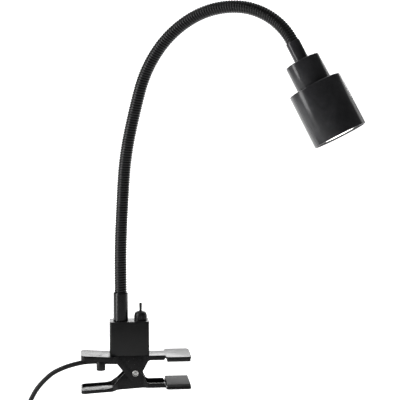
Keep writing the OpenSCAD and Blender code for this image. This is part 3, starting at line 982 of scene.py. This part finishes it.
class LAMP_OT_neck(bpy.types.Operator):
    """Makes the ribbed neck, bent along its course, and its foot ferrule"""

    bl_idname = "reading_lamp.neck"
    bl_label = "Neck"

    def execute(self, context):
        look = context.scene.reading_lamp
        self.foot()
        course = self.course()
        pattern = self.ribbed(look.ribs_per_link, look.rib_depth)
        links = len(BENDS)
        for i in range(links):
            pick(pattern)
            bpy.ops.object.duplicate()
            sleeve = named(f"neck_sleeve_{i + 1}")
            sleeve.location.z = LINK * i
            settle(sleeve)
            modify(sleeve, "CURVE", object=course, deform_axis="POS_Z")
            smooth(sleeve, 70)
            nodes = [f"neck_link_{i}"]
            if i == links - 1:
                nodes.append(f"neck_link_{links}")
            dress(sleeve, None, finish_named("neck paint"), *nodes, slot="neck_paint")
            hinge = LINK * (i + 0.5)
            start = neck_course(hinge - 0.42 * LINK)[0]
            end = neck_course(hinge + 0.42 * LINK)[0]
            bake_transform(sleeve)
        bpy.data.objects.remove(pattern)
        bpy.data.objects.remove(course)
        return {"FINISHED"}

    def foot(self):
        """The tapered ferrule at the neck's foot, with a bead at its bottom and a soft lip."""
        low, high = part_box("base_ferrule")
        centre = (low + high) / 2
        ferrule = spun(
            "foot_ferrule",
            rounded(
                ((3.5, 0), (5, 0), (5, 9), (7.7, 9), (7.7, 9.6), (7.65, 10.4), (7.5, 37.3),
                 (6.9, 38.6), (5.7, 38.6), (5.7, 30.6), (3.5, 30.6)),
                0.4,
            ),
        )
        ferrule.location = (centre.x, centre.y, low.z)
        settle(ferrule)
        dress(smooth(ferrule), "base", finish_named("neck paint"), "base_ferrule",
              slot="head_paint")

    def course(self):
        """A curve along the neck's middle line, for the ribs to follow."""
        count = 280
        points = [neck_course(neck_length() * k / count)[0] for k in range(count + 1)]
        curve = strung("neck_course", points)
        curve.data.twist_mode = "MINIMUM"
        return curve

    def ribbed(self, ribs, depth):
        """One link's length of straight tube with a wound round rib, cut square at both ends."""
        pitch = LINK / ribs / MM
        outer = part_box("neck_link_0")[1].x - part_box("neck_link_0")[0].x
        r = outer / 2 / MM
        count = 8
        rib = []
        for k in range(count + 1):
            t = k / count * 2 - 1
            rib.append((r - depth / MM * (1 - math.sqrt(max(0, 1 - (0.96 * t) ** 2))),
                        0, pitch * k / count))
        pattern = drawn("neck_sleeve", rib)
        pattern.location.z = -2 * pitch * MM
        settle(pattern)
        modify(
            pattern, "SCREW", axis="Z", angle=math.tau, screw_offset=pitch * MM,
            iterations=ribs + 4, steps=36, render_steps=36, use_merge_vertices=True,
            merge_threshold=0.00001, use_smooth_shade=True,
        )
        pick(pattern)
        bpy.ops.object.mode_set(mode="EDIT")
        for place, up in ((0.0, -1), (LINK, 1)):
            bpy.ops.mesh.select_all(action="SELECT")
            bpy.ops.mesh.bisect(
                plane_co=(0, 0, place), plane_no=(0, 0, up), clear_outer=True, use_fill=False
            )
        bpy.ops.object.mode_set(mode="OBJECT")
        return outward(pattern)


class LAMP_OT_head(bpy.types.Operator):
    """Makes the head: ferrule, upper cup, shade and bulb"""

    bl_idname = "reading_lamp.head"
    bl_label = "Head"

    def execute(self, context):
        paint = finish_named("head paint with painted light")
        ferrule = spun(
            "head_ferrule_turned",
            rounded(
                ((3.5, 8), (5.7, 8), (5.7, 0), (6.8, 0), (7.1, 0.8), (7.1, 20.8), (5, 20.8),
                 (5, 28.8), (3.5, 28.8)),
                0.35,
            ),
        )
        dress(smooth(onto_head(ferrule)), "head", paint, "head_ferrule", slot="head_paint")
        cap = spun("upper_cup", self.cup(17.5, 20.8, 47.6, 5), 128)
        dress(smooth(onto_head(cap)), "head", paint, "head_cap", slot="head_paint")
        shade = spun("lamp_shade", self.cup(27, 47.6, 102.2, 11.5), 160)
        dress(smooth(onto_head(shade)), "head", paint, "shade", slot="head_paint")
        self.bulb()
        return {"FINISHED"}

    def cup(self, r, start, end, hole, wall=1.0, edge=1.0):
        """A spun cup's profile, with a rounded closed end and a rolled lip."""
        turns = [math.radians(a) for a in range(0, 91, 15)]
        corner = [
            (r - edge + edge * math.sin(a), start + edge - edge * math.cos(a)) for a in turns
        ]
        return [
            (hole, start), *corner, (r, end - 0.5), (r - 0.15, end - 0.15), (r - 0.5, end),
            (r - wall + 0.3, end), (r - wall, end - 0.3), (r - wall, start + wall),
            (hole, start + wall),
        ]

    def bulb(self):
        """The bulb: a lit middle lens, sunk a little in a dark flat bezel."""
        rim = spun(
            "bulb_shell",
            rounded(
                ((0.01, 54.5), (10.8, 54.5), (12, 56.5), (13, 66.5), (23.4, 90.6), (25, 93.6),
                 (25, 101.6), (16.6, 101.6), (16, 101.2), (16, 99.2), (0.01, 99.2)),
                0.5,
            ),
            128,
        )
        dress(smooth(onto_head(rim)), "head", finish_named("bulb plastic"), "bulb_body",
              slot="bulb_plastic")
        lens = spun(
            "bulb_face",
            ((0.01, 99.1), (15.95, 99.1), (15.95, 100.9), (15.4, 101.15), (10, 101.2),
             (0.01, 101.25)),
            128,
        )
        dress(smooth(onto_head(lens), 60), "head", finish_named("lens"), "bulb_lens",
              slot="lit_lens")


class LAMP_OT_hidden_parts(bpy.types.Operator):
    """Gives the inner CAD parts that stay as they are their finishes"""

    bl_idname = "reading_lamp.hidden_parts"
    bl_label = "Inner Parts"

    def execute(self, context):
        wanted = {
            "plain steel": ("housing_base", "housing_screws", "base_locknut", "head_locknut",
                            "holder_bracket", "holder_screws", "bulb_pins"),
            "pale plastic": ("terminal_block", "lamp_holder"),
            "switch plastic": ("switch_body",),
            "brass": ("switch_terminals", "holder_contacts"),
        }
        for finish, nodes in wanted.items():
            for node in nodes:
                materials = NODES[node].data.materials
                materials.clear()
                materials.append(finish_named(finish))
        return {"FINISHED"}


class LAMP_PT_sidebar(bpy.types.Panel):
    """Lists the lamp's settings and the operators that build it"""

    bl_idname = "LAMP_PT_sidebar"
    bl_label = "Reading Lamp"
    bl_space_type = "VIEW_3D"
    bl_region_type = "UI"
    bl_category = "Reading Lamp"

    def draw(self, context):
        look = context.scene.reading_lamp
        for key in ReadingLampLook.__annotations__:
            self.layout.prop(look, key)
        for operator in OPERATORS:
            self.layout.operator(operator.bl_idname)


OPERATORS = (
    LAMP_OT_stage,
    LAMP_OT_cord,
    LAMP_OT_clamp,
    LAMP_OT_switch_box,
    LAMP_OT_neck,
    LAMP_OT_head,
    LAMP_OT_hidden_parts,
)
CLASSES = (ReadingLampLook, *OPERATORS, LAMP_PT_sidebar)


def register():
    for item in CLASSES:
        bpy.utils.register_class(item)
    bpy.types.Scene.reading_lamp = bpy.props.PointerProperty(type=ReadingLampLook)


def unregister():
    del bpy.types.Scene.reading_lamp
    for item in reversed(CLASSES):
        bpy.utils.unregister_class(item)


def main():
    """Builds the lamp in order."""
    register()
    bpy.ops.reading_lamp.stage()
    bpy.ops.reading_lamp.cord()
    bpy.ops.reading_lamp.clamp()
    bpy.ops.reading_lamp.switch_box()
    bpy.ops.reading_lamp.neck()
    bpy.ops.reading_lamp.head()
    bpy.ops.reading_lamp.hidden_parts()
    start_fresh()


if __name__ == "__main__":
    main()
